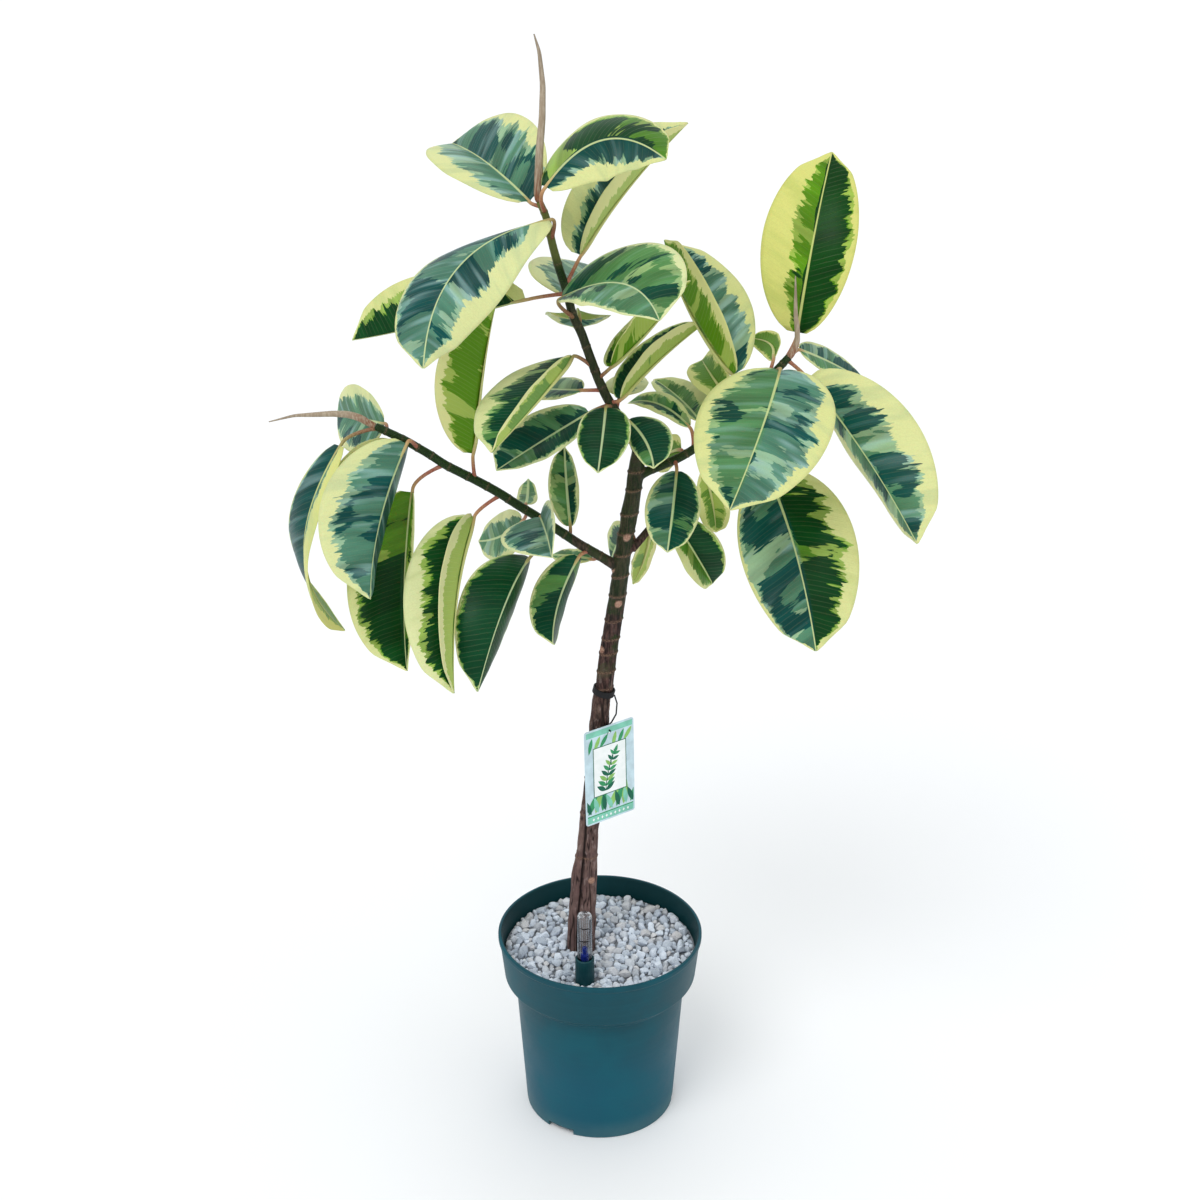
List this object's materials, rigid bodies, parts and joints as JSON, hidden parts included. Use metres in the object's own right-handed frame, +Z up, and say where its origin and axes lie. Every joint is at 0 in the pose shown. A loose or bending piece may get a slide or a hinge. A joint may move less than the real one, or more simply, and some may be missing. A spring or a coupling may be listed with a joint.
{
  "type": "potted rubber plant",
  "caption": "Rubber plant with a woody branched stem and large oval variegated leaves, in a round nursery pot of pumice with a water-level gauge and a hang tag.",
  "frame": {"origin": "centre of the pot's flat bottom, on the floor", "axes": "+Z up the plant, -Y towards the front where the gauge and the tag are, +X to the viewer's right"},
  "size_m": [0.6895, 0.3658, 1.2642],
  "materials": {
    "pot_plastic": "matte dark teal-green",
    "pumice": "dry pale grey stone",
    "bark": "brown bark, greener above",
    "leaf": "glossy variegated green and cream",
    "sheath": "satin greyish pink",
    "socket_plastic": "satin green",
    "clear_plastic": "clear plastic",
    "float_plastic": "dark blue",
    "card": null,
    "tie": "matte black"
  },
  "bodies": {
    "planter": {"pot": "pot_plastic", "pumice_fill": "pumice", "woody_stem": "bark", "leaf_top_1": "leaf", "leaf_top_2": "leaf", "leaf_top_3": "leaf", "leaf_top_4": "leaf", "leaf_top_5": "leaf", "leaf_top_6": "leaf", "leaf_top_7": "leaf", "leaf_top_8": "leaf", "leaf_mid_1": "leaf", "leaf_mid_2": "leaf", "leaf_mid_3": "leaf", "leaf_mid_4": "leaf", "leaf_mid_5": "leaf", "leaf_mid_6": "leaf", "leaf_mid_7": "leaf", "leaf_centre_1": "leaf", "leaf_centre_2": "leaf", "leaf_centre_3": "leaf", "leaf_centre_4": "leaf", "leaf_centre_5": "leaf", "leaf_centre_6": "leaf", "leaf_centre_7": "leaf", "leaf_centre_8": "leaf", "leaf_centre_9": "leaf", "leaf_right_1": "leaf", "leaf_right_2": "leaf", "leaf_right_3": "leaf", "leaf_right_4": "leaf", "leaf_right_5": "leaf", "leaf_right_6": "leaf", "leaf_right_7": "leaf", "leaf_right_8": "leaf", "leaf_left_1": "leaf", "leaf_left_2": "leaf", "leaf_left_3": "leaf", "leaf_left_4": "leaf", "leaf_left_5": "leaf", "leaf_left_6": "leaf", "leaf_left_7": "leaf", "leaf_left_8": "leaf", "leaf_left_9": "leaf", "leaf_left_10": "leaf", "leaf_left_11": "leaf", "leaf_left_12": "leaf", "leaf_left_13": "leaf", "leaf_left_14": "leaf", "leaf_back_1": "leaf", "sheath_top": "sheath", "sheath_left": "sheath", "sheath_right": "sheath", "gauge_socket": "socket_plastic", "gauge_tube": "clear_plastic", "hang_tag": "card", "tag_tie": "tie"},
    "float": {"gauge_float": "float_plastic"}
  },
  "joints": [
    {"name": "float_rise", "type": "slide", "parent": "planter", "child": "float", "axis": [0, 0, 1], "range_m": [0, 0.03]}
  ]
}
